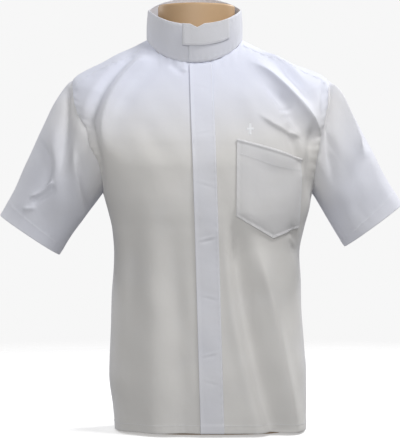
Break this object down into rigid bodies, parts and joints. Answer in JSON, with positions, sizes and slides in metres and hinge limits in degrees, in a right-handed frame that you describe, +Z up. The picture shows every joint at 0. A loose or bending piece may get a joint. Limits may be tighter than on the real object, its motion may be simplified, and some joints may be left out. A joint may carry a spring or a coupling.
{
  "type": "clergy shirt on a dress form",
  "caption": "Short-sleeved clergy shirt with a tall standing collar, a closing tab, a fly front and a chest pocket, worn by a limbless torso form.",
  "frame": {"origin": "middle of the torso form's flat base, on the surface it stands on", "axes": "+Z up, -Y out of the shirt's front, +X to the wearer's left"},
  "size_m": [0.723, 0.2586, 0.7819],
  "materials": {
    "shirt_cloth": "plain fine weave, matte white",
    "form_shell": "smooth satin tan"
  },
  "bodies": {
    "root": {"front_right": "shirt_cloth", "front_left": "shirt_cloth", "back": "shirt_cloth", "yoke": "shirt_cloth", "placket": "shirt_cloth", "pocket": "shirt_cloth", "sleeve_right": "shirt_cloth", "sleeve_left": "shirt_cloth", "neckband": "shirt_cloth", "collar_tab": "shirt_cloth", "torso_form": "form_shell"}
  },
  "joints": []
}
